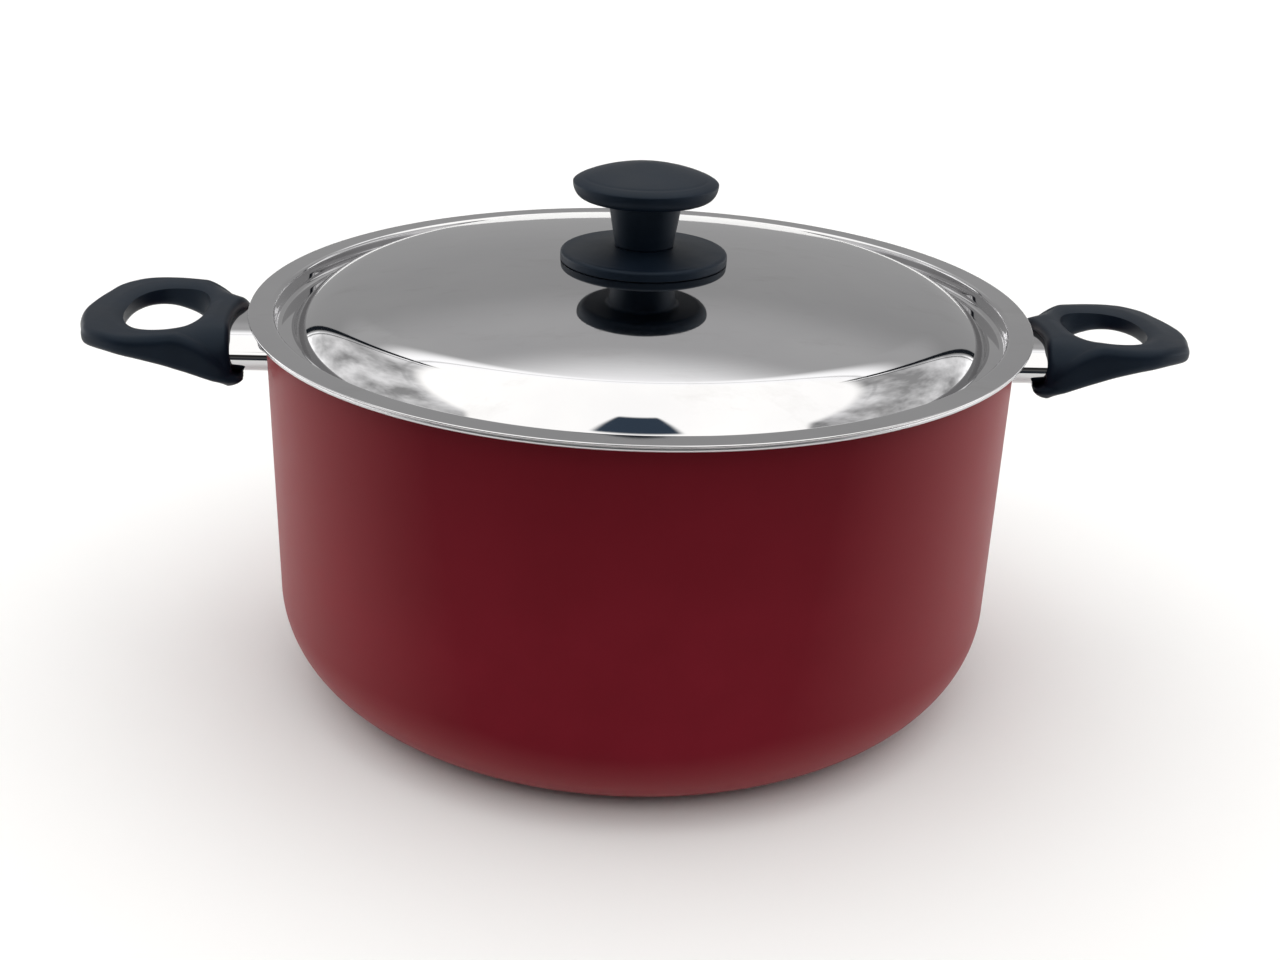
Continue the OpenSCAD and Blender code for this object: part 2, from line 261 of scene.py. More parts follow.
def lathe(points, segments=SEGMENTS, zones=None, closed=False):
    """Surface of revolution about Z. Points on the axis become poles; zones gives each band its material."""
    bm = bmesh.new()
    rings = []
    for r, z in points:
        if r < ON_AXIS:
            rings.append([bm.verts.new((0, 0, z))])
        else:
            rings.append([
                bm.verts.new((r * math.cos(TAU * k / segments), r * math.sin(TAU * k / segments), z))
                for k in range(segments)
            ])
    bands = len(rings) if closed else len(rings) - 1
    for i in range(bands):
        a, b = rings[i], rings[(i + 1) % len(rings)]
        for k in range(segments):
            n = (k + 1) % segments
            if len(a) == 1 and len(b) == 1:
                continue
            if len(a) == 1:
                face = bm.faces.new((a[0], b[k], b[n]))
            elif len(b) == 1:
                face = bm.faces.new((a[k], b[0], a[n]))
            else:
                face = bm.faces.new((a[k], b[k], b[n], a[n]))
            if zones:
                face.material_index = zones[i]
    return bm


# ---------------------------------------------------------------- node helpers
def new_tree(name):
    """A material with an empty node tree that ends in a Principled shader."""
    material = bpy.data.materials.new(name)
    material.use_nodes = True
    tree = material.node_tree
    tree.nodes.clear()
    output = tree.nodes.new("ShaderNodeOutputMaterial")
    shader = tree.nodes.new("ShaderNodeBsdfPrincipled")
    tree.links.new(shader.outputs["BSDF"], output.inputs["Surface"])
    return material, tree, shader


def object_point(tree):
    """The shaded point in the row frame, in metres."""
    return tree.nodes.new("ShaderNodeTexCoord").outputs["Object"]


def maths(tree, operation, a, b=None, clamp=False):
    """Result of a Math node; a and b may be numbers or sockets."""
    node = tree.nodes.new("ShaderNodeMath")
    node.operation = operation
    node.use_clamp = clamp
    for socket, value in zip(node.inputs, (a, b)):
        if value is None:
            continue
        if isinstance(value, (int, float)):
            socket.default_value = value
        else:
            tree.links.new(value, socket)
    return node.outputs[0]


def noise(tree, point, scale, detail=3.0, roughness=0.55, stretch=None):
    """Fractal noise of a point. scale is in cycles per metre; stretch scales the point first."""
    if stretch:
        mapping = tree.nodes.new("ShaderNodeMapping")
        mapping.inputs["Scale"].default_value = stretch
        tree.links.new(point, mapping.inputs["Vector"])
        point = mapping.outputs["Vector"]
    node = tree.nodes.new("ShaderNodeTexNoise")
    node.inputs["Scale"].default_value = scale
    node.inputs["Detail"].default_value = detail
    node.inputs["Roughness"].default_value = roughness
    tree.links.new(point, node.inputs["Vector"])
    return node.outputs["Fac"]


def span(tree, value, low, high, to_low=0.0, to_high=1.0, smooth=False):
    """Maps a value from one range to another, clamped."""
    node = tree.nodes.new("ShaderNodeMapRange")
    node.interpolation_type = "SMOOTHSTEP" if smooth else "LINEAR"
    for name, number in (("From Min", low), ("From Max", high), ("To Min", to_low), ("To Max", to_high)):
        node.inputs[name].default_value = number
    tree.links.new(value, node.inputs["Value"])
    return node.outputs["Result"]


def mixed(tree, share, a, b):
    """Colour between a and b; either may be a colour or a socket."""
    node = tree.nodes.new("ShaderNodeMix")
    node.data_type = "RGBA"
    tree.links.new(share, node.inputs["Factor"])
    for socket, value in ((node.inputs[6], a), (node.inputs[7], b)):
        if isinstance(value, tuple):
            socket.default_value = (*value, 1.0)
        else:
            tree.links.new(value, socket)
    return node.outputs[2]


def bump(tree, shader, height, strength, distance):
    """Raises a shader's surface by a height socket; distance is in metres."""
    node = tree.nodes.new("ShaderNodeBump")
    node.inputs["Strength"].default_value = strength
    node.inputs["Distance"].default_value = distance
    tree.links.new(height, node.inputs["Height"])
    tree.links.new(node.outputs["Normal"], shader.inputs["Normal"])


def rings_of(tree, point):
    """Distance from the pot's axis, for marks left by turning or polishing on a lathe."""
    flat = tree.nodes.new("ShaderNodeVectorMath")
    flat.operation = "MULTIPLY"
    flat.inputs[1].default_value = (1, 1, 0)
    tree.links.new(point, flat.inputs[0])
    length = tree.nodes.new("ShaderNodeVectorMath")
    length.operation = "LENGTH"
    tree.links.new(flat.outputs[0], length.inputs[0])
    return length.outputs["Value"]


def ring_noise(tree, point, scale, detail=2.0):
    """Noise that depends mostly on the distance from the axis: fine concentric lines."""
    radius = rings_of(tree, point)
    split = tree.nodes.new("ShaderNodeSeparateXYZ")
    tree.links.new(point, split.inputs[0])
    joined = tree.nodes.new("ShaderNodeCombineXYZ")
    tree.links.new(radius, joined.inputs[0])
    tree.links.new(maths(tree, "MULTIPLY", split.outputs[0], 0.01), joined.inputs[1])
    tree.links.new(split.outputs[2], joined.inputs[2])
    return noise(tree, joined.outputs[0], scale, detail)


# ---------------------------------------------------------------- materials
def red_coating():
    """Satin red coating: speckled, darker towards the lip with painted shade, paler at grazing angles with a
    painted sheen, scuffed at the foot.
    """
    deep, bright = (0.118, 0.0038, 0.0095), (0.155, 0.0068, 0.0155)
    # The lip colour is painted shade and the grazing colour is a painted sheen; the scuffed colour is wear.
    painted_lip_shade, painted_grazing_sheen, scuffed = (0.09, 0.003, 0.0075), (0.26, 0.05, 0.055), (0.21, 0.05, 0.055)
    foot_height = 12 * MM
    material, tree, shader = new_tree("red_coating")
    point = object_point(tree)
    speckle = noise(tree, point, scale=2600, detail=2.0, roughness=0.7)
    cloud = noise(tree, point, scale=22, detail=4.0)
    tone = span(tree, maths(tree, "ADD", maths(tree, "MULTIPLY", speckle, 0.35), cloud), 0.35, 0.95)
    split = tree.nodes.new("ShaderNodeSeparateXYZ")
    tree.links.new(point, split.inputs[0])
    height = split.outputs[2]
    # Painted shade: the coating's colour darkens with height towards the lip.
    rising = span(tree, height, 60 * MM, 140 * MM, 0.0, 0.75)
    colour = mixed(tree, rising, mixed(tree, tone, deep, bright), painted_lip_shade)
    # Painted sheen: a paler, pinkish colour at grazing angles stands in for reflections of the bright
    # surroundings.
    facing = tree.nodes.new("ShaderNodeLayerWeight")
    facing.inputs["Blend"].default_value = 0.5
    grazing = span(tree, facing.outputs["Facing"], 0.25, 0.85)
    colour = mixed(tree, grazing, colour, painted_grazing_sheen)
    scuff = noise(tree, point, scale=420, detail=3.0, roughness=0.6, stretch=(1, 1, 3))
    foot = span(tree, height, 0.0, foot_height, 1.0, 0.0, smooth=True)
    worn = maths(tree, "MULTIPLY", foot, span(tree, scuff, 0.56, 0.7), clamp=True)
    tree.links.new(mixed(tree, worn, colour, scuffed), shader.inputs["Base Color"])
    tree.links.new(span(tree, cloud, 0.3, 0.7, 0.36, 0.43), shader.inputs["Roughness"])
    shader.inputs["Specular IOR Level"].default_value = 0.05
    bump(tree, shader, speckle, strength=0.22, distance=0.12 * MM)
    return material


def bare_metal(name, dark, light, roughness, lines):
    """Bare aluminium or steel with fine concentric lines."""
    material, tree, shader = new_tree(name)
    point = object_point(tree)
    fine = ring_noise(tree, point, lines)
    cloud = noise(tree, point, scale=30, detail=3.0)
    both = maths(tree, "ADD", maths(tree, "MULTIPLY", fine, 0.6), maths(tree, "MULTIPLY", cloud, 0.4))
    tone = span(tree, both, 0.3, 0.7)
    tree.links.new(mixed(tree, tone, dark, light), shader.inputs["Base Color"])
    rough = span(tree, cloud, 0.3, 0.7, roughness - 0.04, roughness + 0.05)
    tree.links.new(rough, shader.inputs["Roughness"])
    shader.inputs["Metallic"].default_value = 1.0
    bump(tree, shader, fine, strength=0.15, distance=0.05 * MM)
    return material


def nonstick():
    """Dark nonstick lining with pale specks and faint turned rings."""
    material, tree, shader = new_tree("nonstick_lining")
    point = object_point(tree)
    speck = noise(tree, point, scale=900, detail=2.0, roughness=0.8)
    colour = mixed(tree, span(tree, speck, 0.62, 0.74), (0.022, 0.022, 0.024), (0.11, 0.11, 0.115))
    tree.links.new(colour, shader.inputs["Base Color"])
    rings = ring_noise(tree, point, scale=600)
    tree.links.new(span(tree, rings, 0.3, 0.7, 0.4, 0.5), shader.inputs["Roughness"])
    bump(tree, shader, rings, strength=0.2, distance=0.06 * MM)
    return material


def polished_steel(name, smudges):
    """Mirror-polished stainless steel with faint polishing lines, smudges and hairline scratches."""
    material, tree, shader = new_tree(name)
    point = object_point(tree)
    cloud = noise(tree, point, scale=16, detail=4.0, roughness=0.6)
    smear = noise(tree, point, scale=38, detail=5.0, roughness=0.65, stretch=(1, 2.2, 1))
    marks = maths(tree, "MULTIPLY", span(tree, smear, 0.56, 0.72), smudges, clamp=True)
    tone = span(tree, cloud, 0.3, 0.7)
    colour = mixed(tree, tone, (0.55, 0.545, 0.555), (0.6, 0.595, 0.6))
    tree.links.new(mixed(tree, marks, colour, (0.5, 0.49, 0.49)), shader.inputs["Base Color"])
    lines = ring_noise(tree, point, scale=900)
    polish = span(tree, lines, 0.3, 0.7, 0.024, 0.04)
    rough = maths(tree, "ADD", polish, maths(tree, "MULTIPLY", marks, 0.06))
    tree.links.new(rough, shader.inputs["Roughness"])
    shader.inputs["Metallic"].default_value = 1.0
    bump(tree, shader, lines, strength=0.05, distance=0.02 * MM)
    return material


def phenolic():
    """Blue-black moulded phenolic: satin, with a fine grain and slightly greyed high spots."""
    material, tree, shader = new_tree("phenolic")
    point = object_point(tree)
    grain = noise(tree, point, scale=3200, detail=2.0, roughness=0.7)
    cloud = noise(tree, point, scale=60, detail=4.0, roughness=0.6)
    tone = span(tree, maths(tree, "ADD", maths(tree, "MULTIPLY", grain, 0.3), cloud), 0.4, 0.9)
    colour = mixed(tree, tone, (0.003, 0.0062, 0.0122), (0.0056, 0.0104, 0.0195))
    streak = noise(tree, point, scale=240, detail=3.0, roughness=0.6, stretch=(1, 1, 4))
    worn = span(tree, streak, 0.66, 0.8)
    tree.links.new(mixed(tree, worn, colour, (0.012, 0.017, 0.026)), shader.inputs["Base Color"])
    tree.links.new(span(tree, cloud, 0.3, 0.7, 0.42, 0.5), shader.inputs["Roughness"])
    shader.inputs["Specular IOR Level"].default_value = 0.18
    shader.inputs["Specular Tint"].default_value = (0.7, 0.85, 1.0, 1.0)
    bump(tree, shader, grain, strength=0.12, distance=0.06 * MM)
    return material


def brass():
    """Turned brass of the knob's insert."""
    material, tree, shader = new_tree("turned_brass")
    point = object_point(tree)
    fine = noise(tree, point, scale=1500, detail=2.0, roughness=0.6, stretch=(1, 1, 6))
    tree.links.new(mixed(tree, fine, (0.62, 0.44, 0.18), (0.78, 0.6, 0.3)), shader.inputs["Base Color"])
    tree.links.new(span(tree, fine, 0.3, 0.7, 0.26, 0.38), shader.inputs["Roughness"])
    shader.inputs["Metallic"].default_value = 1.0
    bump(tree, shader, fine, strength=0.1, distance=0.03 * MM)
    return material


def pale_floor():
    """Matt, almost white table top."""
    material, tree, shader = new_tree("pale_floor")
    point = object_point(tree)
    colour = mixed(tree, noise(tree, point, scale=1.5, detail=2.0), (0.93, 0.93, 0.93), (0.955, 0.955, 0.955))
    tree.links.new(colour, shader.inputs["Base Color"])
    shader.inputs["Roughness"].default_value = 0.9
    shader.inputs["Specular IOR Level"].default_value = 0.0
    return material


RED = red_coating()
LIP_METAL = bare_metal("bare_lip", (0.52, 0.52, 0.53), (0.6, 0.6, 0.61), 0.3, 1200)
BASE_METAL = bare_metal("turned_base", (0.5, 0.5, 0.5), (0.66, 0.66, 0.66), 0.34, 700)
LINING = nonstick()
LID_STEEL = polished_steel("lid_steel", 0.5)
GUARD_STEEL = polished_steel("guard_steel", 0.15)
FASTENER_STEEL = bare_metal("fastener_steel", (0.42, 0.42, 0.43), (0.56, 0.56, 0.57), 0.3, 900)
PHENOLIC = phenolic()
BRASS = brass()


# ---------------------------------------------------------------- pot and lid
def pot():
    """Drawn pot. Each part of its section starts with its zone, which is its place in the materials."""
    corner = (BASE_R, CORNER_R)
    inner_corner_r = INNER_R - BASE_R
    under_lip = POT_HEIGHT - LIP_THICKNESS
    lip_edge = LIP_THICKNESS / 2
    bare_angle = math.degrees(math.asin((BARE_BASE_R - BASE_R) / CORNER_R))
    parts = [
        (0, [(0, BASE_HOLLOW), (BASE_HOLLOW_R - 0.4 * MM, BASE_HOLLOW)]),
        (0, held((BASE_HOLLOW_R, 0), (BASE_R, 0))),
        (0, arc(corner, CORNER_R, -90, -90 + bare_angle, 4)),
        (1, arc(corner, CORNER_R, -90 + bare_angle, 0, 36)),
        (1, held((POT_R, CORNER_R), (POT_R, under_lip - LIP_FILLET))),
        (1, arc((POT_R + LIP_FILLET, under_lip - LIP_FILLET), LIP_FILLET, 180, 90, 10)),
        (1, held((POT_R + LIP_FILLET, under_lip), (LIP_R - lip_edge, under_lip), 0.2 * MM)),
        (2, arc((LIP_R - lip_edge, POT_HEIGHT - lip_edge), lip_edge, -90, 90, 16)),
        (2, held((LIP_R - lip_edge, POT_HEIGHT), (INNER_R + MOUTH_FILLET, POT_HEIGHT), 0.2 * MM)),
        (2, arc((INNER_R + MOUTH_FILLET, POT_HEIGHT - MOUTH_FILLET), MOUTH_FILLET, 90, 180, 10)),
        (3, held((INNER_R, POT_HEIGHT - MOUTH_FILLET), (INNER_R, BASE_THICKNESS + inner_corner_r))),
        (3, arc((BASE_R, BASE_THICKNESS + inner_corner_r), inner_corner_r, 0, -90, 36)),
        (3, held((BASE_R, BASE_THICKNESS), (0, BASE_THICKNESS))),
    ]
    points, zones = [], []
    for zone, part in parts:
        for p in part:
            if points and (Vector(p) - Vector(points[-1])).length < SAME_POINT:
                continue
            if points:
                zones.append(zone)
            points.append(tuple(p))
    bm = lathe(points, zones=zones)
    materials = [BASE_METAL, RED, LIP_METAL, LINING]
    make_object("pot_body", bm, materials, "pot", ["pot_shell"])


def lid_line(depth):
    """The lid's section from the screw hole to the flange, at a depth below its outer surface."""
    tilt = math.asin(SHOULDER_START / CROWN_RADIUS)
    crown = Vector((0, CROWN_Z - CROWN_RADIUS))
    shoulder = crown + (CROWN_RADIUS - SHOULDER_RADIUS) * Vector((math.sin(tilt), math.cos(tilt)))
    channel_z = LID_TOP - CHANNEL_DEPTH + CHANNEL_FILLET
    blend = SHOULDER_RADIUS + CHANNEL_FILLET
    end = math.acos((channel_z - shoulder.y) / blend)
    inner = shoulder + blend * Vector((math.sin(end), math.cos(end)))
    start = math.degrees(math.asin(SCREW_HOLE_R / CROWN_RADIUS))
    tilt, end = math.degrees(tilt), math.degrees(end)
    return outline(
        arc(crown, CROWN_RADIUS - depth, 90 - start, 90 - tilt, 48),
        arc(shoulder, SHOULDER_RADIUS - depth, 90 - tilt, 90 - end, 48),
        arc(inner, CHANNEL_FILLET + depth, 270 - end, 270, 16),
        arc((STEP_R - CHANNEL_FILLET, channel_z), CHANNEL_FILLET + depth, 270, 360, 18),
        held((STEP_R + depth, channel_z), (STEP_R + depth, LID_TOP - BEND_R), 0.2 * MM),
        arc((STEP_R + BEND_R, LID_TOP - BEND_R), BEND_R - depth, 180, 90, 12),
    )


def lid():
    """Spun lid: dome, channel, step and flat flange, all of one gauge."""
    edge = GAUGE / 2
    points = outline(
        lid_line(0),
        held((STEP_R + BEND_R, LID_TOP), (LID_R - edge, LID_TOP)),
        arc((LID_R - edge, LID_TOP - edge), edge, 90, -90, 12),
        held((LID_R - edge, POT_HEIGHT), (STEP_R + BEND_R, POT_HEIGHT)),
        reversed(lid_line(GAUGE)),
    )
    bm = lathe(points, closed=True)
    make_object("lid_dome", bm, [LID_STEEL], "lid", ["lid_shell"])


# ---------------------------------------------------------------- knob
def knob_disc():
    """Disc under the knob; it stands on the lid by its rim and is hollow beneath."""
    hole_r = SPIGOT_R + 0.1 * MM
    top_edge = FLANGE_BASE + 2.4 * MM
    points = outline(
        held((hole_r, FLANGE_HOLLOW), (FLANGE_R - 3.5 * MM, FLANGE_HOLLOW)),
        held((FLANGE_R - 3 * MM, FLANGE_BASE), (FLANGE_R - 0.2 * MM, FLANGE_BASE), 0.15 * MM),
        held((FLANGE_R, FLANGE_BASE + 0.2 * MM), (FLANGE_R, top_edge)),
        bow((FLANGE_R - 2.2 * MM, top_edge), (2.2 * MM, 1.5 * MM), 0, 84, 12),
        held((FLANGE_R - 3.2 * MM, FLANGE_BASE + 3.95 * MM),
             (STEM_FOOT_R + 3 * MM, FLANGE_SEAT - 0.35 * MM), 1 * MM),
        [(STEM_FOOT_R + 1.4 * MM, FLANGE_SEAT - 0.16 * MM), (STEM_FOOT_R + 0.7 * MM, FLANGE_SEAT)],
        [(hole_r, FLANGE_SEAT)],
    )
    bm = lathe(points, KNOB_SEGMENTS, closed=True)
    make_object("knob_disc", bm, [PHENOLIC], "lid", ["knob_flange"])


def knob():
    """Mushroom knob: flared stem and a domed cap with a faint ring groove near its rim."""
    steps = 60
    top = []
    for i in range(1, steps + 1):
        a = math.radians(90 * i / steps)
        r = CAP_R * max(0.0, math.cos(a)) ** CAP_SIDE_POWER if i < steps else 0.0
        groove = GROOVE_DEPTH * math.exp(-((r - GROOVE_R) / GROOVE_WIDTH) ** 2)
        top.append((r, CAP_Z + CAP_RISE * math.sin(a) ** CAP_TOP_POWER - groove))
    seat = INSERT_TOP - INSERT_LENGTH
    stem_base = FLANGE_SEAT + 0.02 * MM
    flare_r = 2 * MM
    points = outline(
        [(0, INSERT_TOP), (INSERT_R - KNOB_EDGE, INSERT_TOP)],
        held((INSERT_R, INSERT_TOP - KNOB_EDGE), (INSERT_R, seat + KNOB_EDGE)),
        [(INSERT_R + KNOB_EDGE, seat)],
        [(SPIGOT_R - KNOB_EDGE, seat), (SPIGOT_R, seat + KNOB_EDGE), (SPIGOT_R, stem_base)],
        [(STEM_FOOT_R - KNOB_EDGE, stem_base), (STEM_FOOT_R, FLANGE_SEAT + KNOB_EDGE)],
        [(STEM_FOOT_R + 0.05 * MM, FLANGE_SEAT + 1 * MM)],
        arc((STEM_HEAD_R + flare_r, CAP_UNDERSIDE - flare_r), flare_r, 172, 90, 10),
        bow((CAP_R - CAP_LOWER[0], CAP_Z), CAP_LOWER, -90, 0, 20),
        top,
    )
    make_object("knob", lathe(points, KNOB_SEGMENTS), [PHENOLIC], "lid", ["knob_grip"])


# ---------------------------------------------------------------- handles
def handle_knots():
    """Plan of the handle as knots of a smooth closed curve."""
    side = [
        (REACH, 0),
        (REACH - 1.3 * MM, 9.6 * MM),
        (REACH - 3.8 * MM, 18 * MM),
        (REACH - 7.5 * MM, 27.3 * MM),
        ((REACH + WIDEST) / 2 - 3.8 * MM, HALF_WIDTH - 1.3 * MM),
        (WIDEST, HALF_WIDTH),
        ((WIDEST + END_START) / 2, HALF_WIDTH - 3.3 * MM),
        (END_START + 6 * MM, END_HALF_WIDTH + 3.5 * MM),
        (END_START, END_HALF_WIDTH),
        (END_START + 0.7 * MM, 20 * MM),
        (HANDLE_START - 0.4 * MM, 9 * MM),
        (HANDLE_START, 0),
    ]
    return side + [(x, -y) for x, y in side[-2:0:-1]]


def smooth_loop(knots, steps):
    """Catmull-Rom curve through closed knots."""
    points = []
    count = len(knots)
    for i in range(count):
        a, b, c, d = (Vector(knots[(i + k) % count]) for k in (-1, 0, 1, 2))
        for k in range(steps):
            t = k / steps
            points.append(0.5 * (2 * b + (c - a) * t + (2 * a - 5 * b + 4 * c - d) * t * t
                                 + (3 * b - a - 3 * c + d) * t ** 3))
    return points


def hole_point(p):
    """Point on the rim of the finger hole that faces an outline point."""
    a = math.atan2(p.y, p.x - HOLE_CENTRE)
    x = abs(math.cos(a)) / ((HOLE_END - HOLE_START) / 2)
    y = abs(math.sin(a)) / HOLE_HALF_WIDTH
    r = (x ** HOLE_POWER + y ** HOLE_POWER) ** (-1 / HOLE_POWER)
    return Vector((HOLE_CENTRE + r * math.cos(a), r * math.sin(a)))


def end_slope(p):
    """How far along the slope towards the pot a point is."""
    return max(0.0, (SLOPE_START - p.x) / SLOPE_LENGTH) ** SLOPE_POWER


def side_share(p):
    """How near a point is to a side of the handle."""
    return clamped((abs(p.y) - SIDE_START) / SIDE_WIDTH, SIDE_LIMIT) ** SIDE_POWER


def tip_share(p):
    """How far along the tip, beyond the finger hole, a point is."""
    return clamped((p.x - HOLE_END) / (REACH - HOLE_END)) ** TIP_POWER


def grip_top(p):
    """Height of the handle's top face."""
    crown = TOP_CROWN * (p.y / CROWN_HALF_WIDTH) ** 2
    droop = MIDDLE_DROOP + (SIDE_DROOP - MIDDLE_DROOP) * side_share(p)
    return HANDLE_TOP - crown - TIP_DROOP * tip_share(p) - droop * end_slope(p)


def grip_bottom(p):
    """Height of the handle's underside."""
    tip_end = REACH - TIP_FLAT
    inward = clamped((tip_end - p.x) / (tip_end - HANDLE_START))
    depth = TIP_THICKNESS + (ROOT_THICKNESS - TIP_THICKNESS) * inward ** ROOT_POWER
    return HANDLE_TOP - depth - TIP_UNDERSIDE_DROOP * tip_share(p) + END_RISE * side_share(p) * end_slope(p)


def drawn_out(p, z):
    """Draws the part below the flame guard out towards the pot, as a chin."""
    depth = (HANDLE_TOP - z) / ROOT_THICKNESS
    below = clamped((depth - CHIN_DEPTHS[0]) / CHIN_STEP) ** CHIN_POWERS[0]
    under = clamped((depth - CHIN_DEPTHS[1]) / CHIN_STEP) ** CHIN_POWERS[1]
    near = clamped((CHIN_START - p.x) / CHIN_RUN)
    return Vector((p.x - CHIN_REACH * below * (1 - under) * near, p.y, z))


def grip_section(hole, edge):
    """Closed section of the grip from the finger hole to the outline."""
    width = (edge - hole).length
    along = (edge - hole) / width
    largest = min(width * 0.45, (grip_top(edge) - grip_bottom(edge)) * EDGE_SHARE)
    at_socket = clamped((HOLE_START - edge.x) / SOCKET_RUN) * max(0.0, 1 - (edge.y / END_HALF_WIDTH) ** 2)
    low = min(EDGE_R, largest)
    outer = min(EDGE_R + (SOCKET_EDGE_R - EDGE_R) * at_socket, largest)
    bevel = min(BEVEL_WIDTH, width * 0.5)
    steps = 8
    points = []

    def corner(base, direction, radius, top, rising):
        """Quarter round from a wall to a face (rising) or from a face to a wall."""
        for i in range(steps + 1):
            q = math.pi / 2 * (i / steps if rising else 1 - i / steps)
            p = base + direction * radius * (1 - math.cos(q))
            drop = radius * (1 - math.sin(q))
            points.append(drawn_out(p, grip_top(p) - drop if top else grip_bottom(p) + drop))

    def wall(p, shares, from_radius, to_radius):
        """Upright wall at the hole or at the outline, as shares of its height."""
        bottom, top = grip_bottom(p) + from_radius, grip_top(p) - to_radius
        for share in shares:
            points.append(drawn_out(p, bottom + (top - bottom) * share))

    def level(a, b, top):
        """Points across the top face or the underside."""
        for i in range(1, 7):
            p = a.lerp(b, i / 7)
            points.append(drawn_out(p, grip_top(p) if top else grip_bottom(p)))

    corner(hole, along, low, top=False, rising=False)
    wall(hole, (0.3, 0.7), low, BEVEL_DEPTH)
    for i in range(steps + 1):
        t = i / steps
        p = hole + along * bevel * t
        points.append(drawn_out(p, grip_top(p) - BEVEL_DEPTH * (1 - t) ** BEVEL_POWER))
    level(hole + along * bevel, edge - along * outer, top=True)
    corner(edge, -along, outer, top=True, rising=False)
    wall(edge, (0.7, 0.4, 0.26, 0.22, 0.18, 0.14, 0.1, 0.06, 0.03), low, outer)
    corner(edge, -along, low, top=False, rising=True)
    level(edge - along * low, hole + along * low, top=False)
    return points


def oval(width, height, steps):
    """Closed oval outline in (y, z) around the fixing height: crowned top and bottom, round ends."""
    power = 2 / GUARD_POWER
    points = []
    for i in range(steps):
        a = TAU * i / steps
        c, s = math.cos(a), math.sin(a)
        points.append(Vector((
            math.copysign(width / 2 * abs(c) ** power, c),
            math.copysign(height / 2 * abs(s) ** power, s),
        )))
    return points


def prism(section, start, end):
    """Solid along X from a closed (y, z) section around the fixing height."""
    bm = bmesh.new()
    near = [bm.verts.new((start, p.x, FIXING_Z + p.y)) for p in section]
    far = [bm.verts.new((end, p.x, FIXING_Z + p.y)) for p in section]
    count = len(section)
    for i in range(count):
        n = (i + 1) % count
        bm.faces.new((near[i], near[n], far[n], far[i]))
    bm.faces.new(list(reversed(near)))
    bm.faces.new(far)
    bmesh.ops.recalc_face_normals(bm, faces=bm.faces)
    return bm


def circle(radius, steps=48):
    """Closed circle in (y, z) around the fixing height."""
    turns = [TAU * i / steps for i in range(steps)]
    return [Vector((radius * math.cos(a), radius * math.sin(a))) for a in turns]


def cut(obj, cutters):
    """Takes each cutter out of an object's mesh."""
    for bm in cutters:
        mesh = bpy.data.meshes.new("cutter")
        bm.to_mesh(mesh)
        bm.free()
        cutter = add_to_scene("cutter", mesh)
        modifier = obj.modifiers.new("cut", "BOOLEAN")
        modifier.operation = "DIFFERENCE"
        modifier.solver = "EXACT"
        modifier.object = cutter
        graph = bpy.context.evaluated_depsgraph_get()
        result = bpy.data.meshes.new_from_object(obj.evaluated_get(graph))
        obj.modifiers.clear()
        obj.data = result
        bpy.data.objects.remove(cutter)


def place_side(obj, side):
    """Turns a right-hand piece about its screw and moves it to its side of the pot."""
    pivot = Matrix.Translation((0, 0, FIXING_Z))
    turned = pivot @ Matrix.Rotation(-TWIST, 4, "X") @ pivot.inverted()
    half_round = Matrix.Rotation(math.pi if side == "left" else 0.0, 4, "Z")
    obj.data.transform(half_round @ turned)


def sharpen(obj, degrees):
    """Smooth shading everywhere except over edges sharper than an angle."""
    obj.data.polygons.foreach_set("use_smooth", [True] * len(obj.data.polygons))
    obj.data.set_sharp_from_angle(angle=math.radians(degrees))


def handle_grip(side):
    """Loop handle with a finger hole, a socket for the flame guard and a bore for the screw."""
    edge = smooth_loop(handle_knots(), steps=10)
    bm = bmesh.new()
    join_loops(bm, [[bm.verts.new(p) for p in grip_section(hole_point(q), q)] for q in edge])
    obj = make_object(f"{side}_grip", bm, [PHENOLIC], "pot", [f"{side}_handle_grip"])
    socket = oval(GUARD_WIDTH + SOCKET_FIT, GUARD_HEIGHT + SOCKET_FIT, steps=96)
    cut(obj, [
        prism(socket, END_START - 12 * MM, SOCKET_END),
        prism(circle(BORE_R), BORE_FLOOR, HOLE_CENTRE),
        prism(circle(SCREW_CLEARANCE_R), SOCKET_END - 1 * MM, BORE_FLOOR + 1 * MM),
    ])
    place_side(obj, side)
    sharpen(obj, degrees=40)


def flame_guard(side):
    """Polished flat-oval ferrule, its inner end cut to the pot's round wall."""
    outside = oval(GUARD_WIDTH, GUARD_HEIGHT, steps=128)
    inside = oval(GUARD_WIDTH - 2 * GUARD_GAUGE, GUARD_HEIGHT - 2 * GUARD_GAUGE, steps=128)
    end = SOCKET_END - 0.2 * MM
    bm = bmesh.new()

    def ring(section, share):
        """The section, turned with the handle, at a share of the way from the wall to the socket's floor."""
        verts = []
        for p in section:
            y = p.x * math.cos(-TWIST) - p.y * math.sin(-TWIST)
            z = p.x * math.sin(-TWIST) + p.y * math.cos(-TWIST)
            wall = math.sqrt(POT_R ** 2 - y ** 2)
            verts.append(bm.verts.new((wall + (end - wall) * share, y, FIXING_Z + z)))
        return verts

    shares = (0.0, 0.02, 0.25, 0.5, 0.75, 0.98, 1.0)
    join_loops(bm, [ring(outside, s) for s in shares] + [ring(inside, s) for s in reversed(shares)])
    obj = make_object(f"{side}_guard", bm, [GUARD_STEEL], "pot", [f"{side}_flame_guard"])
    if side == "left":
        obj.data.transform(Matrix.Rotation(math.pi, 4, "Z"))
    sharpen(obj, degrees=50)


# ---------------------------------------------------------------- carried-over CAD nodes
def finish_fasteners():
    """The small hidden parts keep their CAD shape and get a material."""
    for name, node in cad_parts.items():
        if name.endswith(("screw", "washer")):
            material = FASTENER_STEEL
        elif name.endswith("stud"):
            material = BASE_METAL
        elif name == "knob_insert":
            material = BRASS
        else:
            continue
        node.data.materials.clear()
        node.data.materials.append(material)


